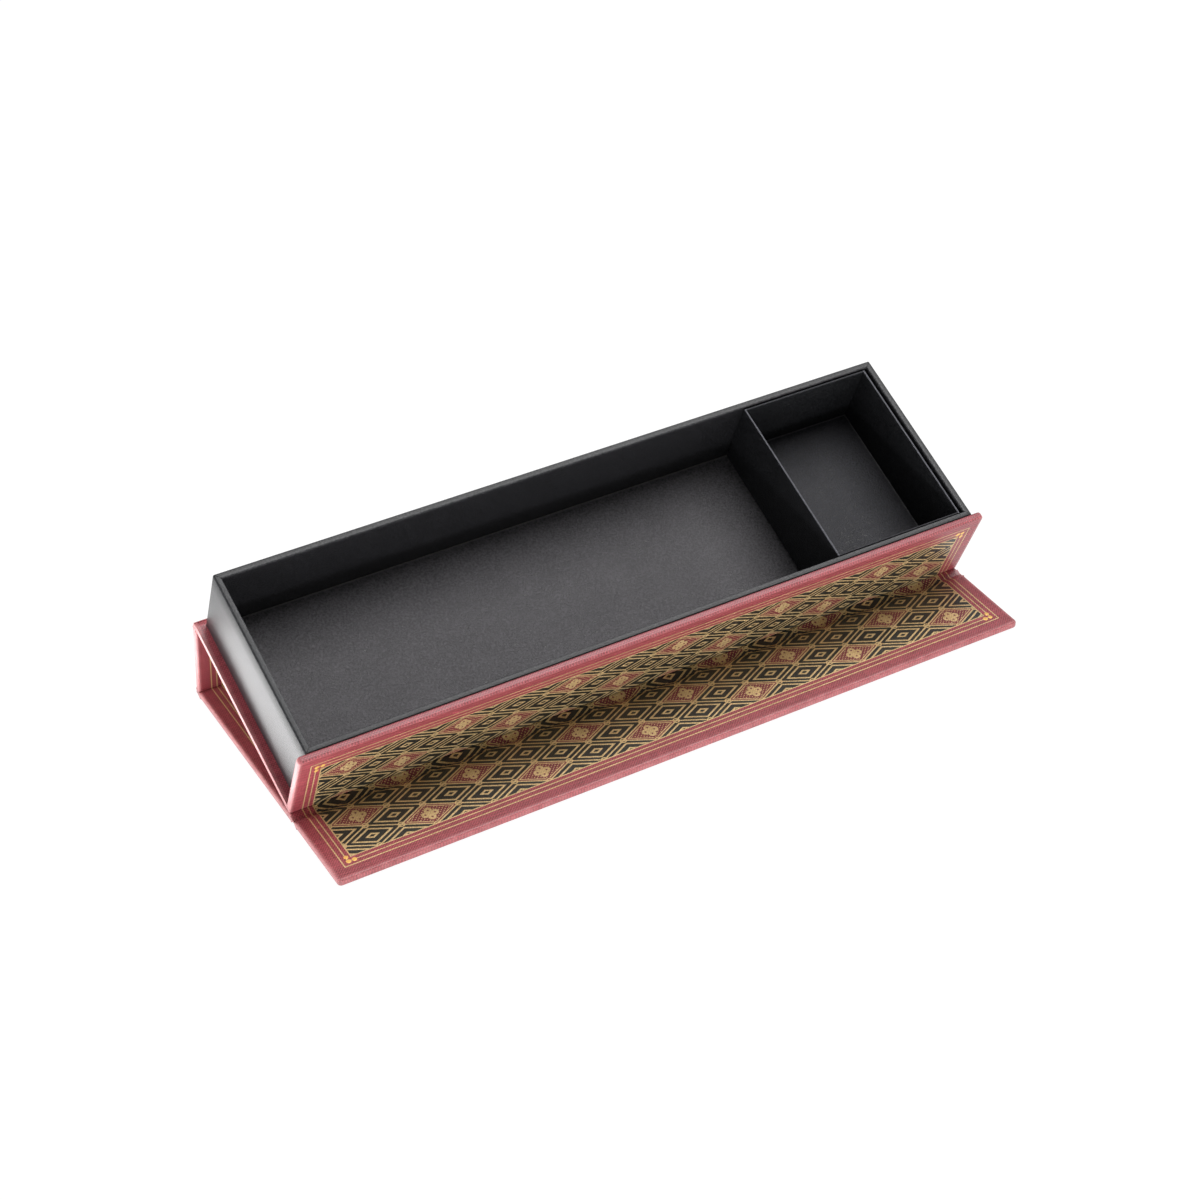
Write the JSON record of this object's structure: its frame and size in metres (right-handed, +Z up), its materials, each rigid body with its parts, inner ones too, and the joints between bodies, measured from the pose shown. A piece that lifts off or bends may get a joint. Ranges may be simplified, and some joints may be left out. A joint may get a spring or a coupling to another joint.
{
  "type": "fountain pen case",
  "caption": "Book-style hard case for fountain pens: a paper-wrapped tray in a hinged, paper-covered board cover with a magnetic front flap and a loose insert tray.",
  "frame": {"origin": "on the table, under the middle of the box round the part in its rest pose", "axes": "+X along the case's length towards the insert end, +Y from the flap to the spine, +Z up"},
  "size_m": [0.2258, 0.0952, 0.0526],
  "materials": {
    "board": "grey board, hidden inside its paper",
    "black_paper": "matte black paper with a fine grain",
    "cover_paper": "satin wine-red paper with gold lines and a gold ornament",
    "liner_paper": "plain dark liner paper",
    "black_card": "matte black folded card",
    "magnet": "nickel-plated magnet discs"
  },
  "bodies": {
    "tray": {"tray_floor_board": "board", "tray_front_wall": "board", "tray_rear_wall": "board", "tray_left_wall": "board", "tray_right_wall": "board", "tray_wrap": "black_paper", "tray_floor_lining": "black_paper", "base_board": "board", "front_panel_board": "board", "front_panel_magnets": "magnet", "base_cover_paper": "cover_paper"},
    "spine": {"spine_board": "board", "spine_cover_paper": "cover_paper", "spine_liner": "liner_paper"},
    "lid": {"lid_board": "board", "lid_cover_paper": "cover_paper", "lid_liner": "liner_paper"},
    "flap": {"flap_board": "board", "flap_cover_paper": "cover_paper", "flap_liner": "liner_paper", "flap_magnets": "magnet"},
    "insert": {"insert_tray": "black_card", "insert_pad": "black_card"}
  },
  "joints": [
    {"name": "spine_fold", "type": "hinge", "parent": "tray", "child": "spine", "pos_m": [0, 0.04303, 0.02911], "axis": [1, 0, 0], "range_deg": [0, 195.74]},
    {"name": "lid_fold", "type": "hinge", "parent": "spine", "child": "lid", "pos_m": [0, 0.04724, 0.00122], "axis": [1, 0, 0], "range_deg": [0, 187]},
    {"name": "flap_fold", "type": "hinge", "parent": "lid", "child": "flap", "pos_m": [0, -0.01904, 0.0016], "axis": [1, 0, 0], "range_deg": [-60, 90]},
    {"name": "insert_slide", "type": "slide", "parent": "tray", "child": "insert", "axis": [1, 0, 0], "range_m": [-0.1706, 0.001]}
  ]
}
